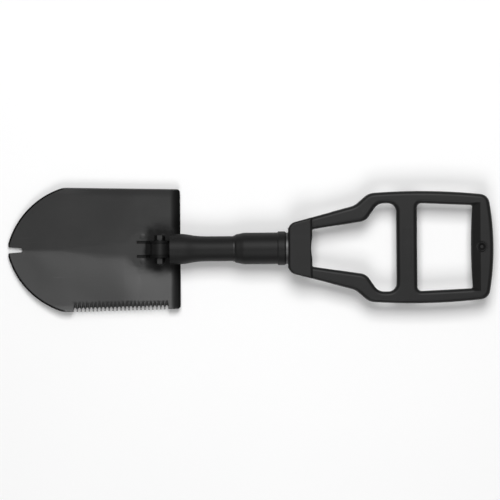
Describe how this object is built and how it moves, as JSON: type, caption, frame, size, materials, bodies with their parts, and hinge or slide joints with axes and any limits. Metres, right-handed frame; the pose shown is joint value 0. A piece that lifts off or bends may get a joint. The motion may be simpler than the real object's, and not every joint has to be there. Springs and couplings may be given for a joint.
{
  "type": "folding camp shovel",
  "caption": "Folding camp shovel: pointed, dished steel blade with a saw edge and notched tip, tube neck with a turning lock collar, and a moulded loop grip. Blade and grip fold.",
  "frame": {"origin": "centre of the open shovel's box in X and Y, on the floor plane that it lies on, face up", "axes": "+X from the blade's tip to the grip's end, +Y across the blade away from the saw edge, +Z out of the blade's hollow face"},
  "size_m": [0.603, 0.1548, 0.0459],
  "materials": {
    "coated_blade": "matt black baked coating on steel sheet, fine texture",
    "coated_bracket": "matt black coating on thick pressed steel",
    "coated_tube": "satin black coating on drawn steel tube",
    "dark_bolt": "black oxide, rubbed on the corners",
    "forged_steel": "black oxide forging",
    "rod_steel": "turned steel",
    "bright_steel": "bare turned steel",
    "bronze": "sintered bronze",
    "bush_nylon": "natural nylon",
    "black_collar": "black anodised, satin",
    "grip_nylon": "black glass-filled nylon, fine spark texture"
  },
  "bodies": {
    "core": {"tie_rod": "rod_steel", "hinge_tongue": "forged_steel", "tongue_bush": "bronze", "tongue_pin": "rod_steel", "rear_knuckle": "forged_steel", "knuckle_bush": "bronze", "knuckle_pin": "rod_steel", "thrust_washer": "bright_steel"},
    "tube": {"neck_tube": "coated_tube", "front_guide_bush": "bush_nylon", "rear_guide_bush": "bush_nylon", "thread_sleeve": "rod_steel"},
    "collar": {"lock_collar": "black_collar", "thread_insert": "rod_steel", "wiper_ring": "bright_steel"},
    "blade": {"blade": "coated_blade", "hinge_bracket": "coated_bracket", "bracket_rivets": "coated_bracket", "hinge_bolt": "dark_bolt", "hinge_nut": "dark_bolt", "hinge_washers": "dark_bolt"},
    "grip": {"handle_grip": "grip_nylon", "hub_bushes": "rod_steel", "handle_pin": "rod_steel", "pin_caps": "grip_nylon"}
  },
  "joints": [
    {"name": "blade_fold", "type": "hinge", "parent": "core", "child": "blade", "pos_m": [-0.1117, 0, 0.03], "axis": [0, 1, 0], "range_deg": [0, 180]},
    {"name": "handle_fold", "type": "hinge", "parent": "core", "child": "grip", "pos_m": [0.0622, 0, 0.012], "axis": [0, 1, 0], "range_deg": [0, 180]},
    {"name": "collar_turn", "type": "hinge", "parent": "core", "child": "collar", "pos_m": [0.013, 0, 0.025], "axis": [1, 0, 0], "range_deg": [0, 720]},
    {"name": "tube_slide", "type": "slide", "parent": "core", "child": "tube", "axis": [1, 0, 0], "range_m": [0, 0.0062]}
  ],
  "couplings": [
    {"joint": "tube_slide", "follows": "collar_turn", "m_per_rad": 0.00047746}
  ]
}
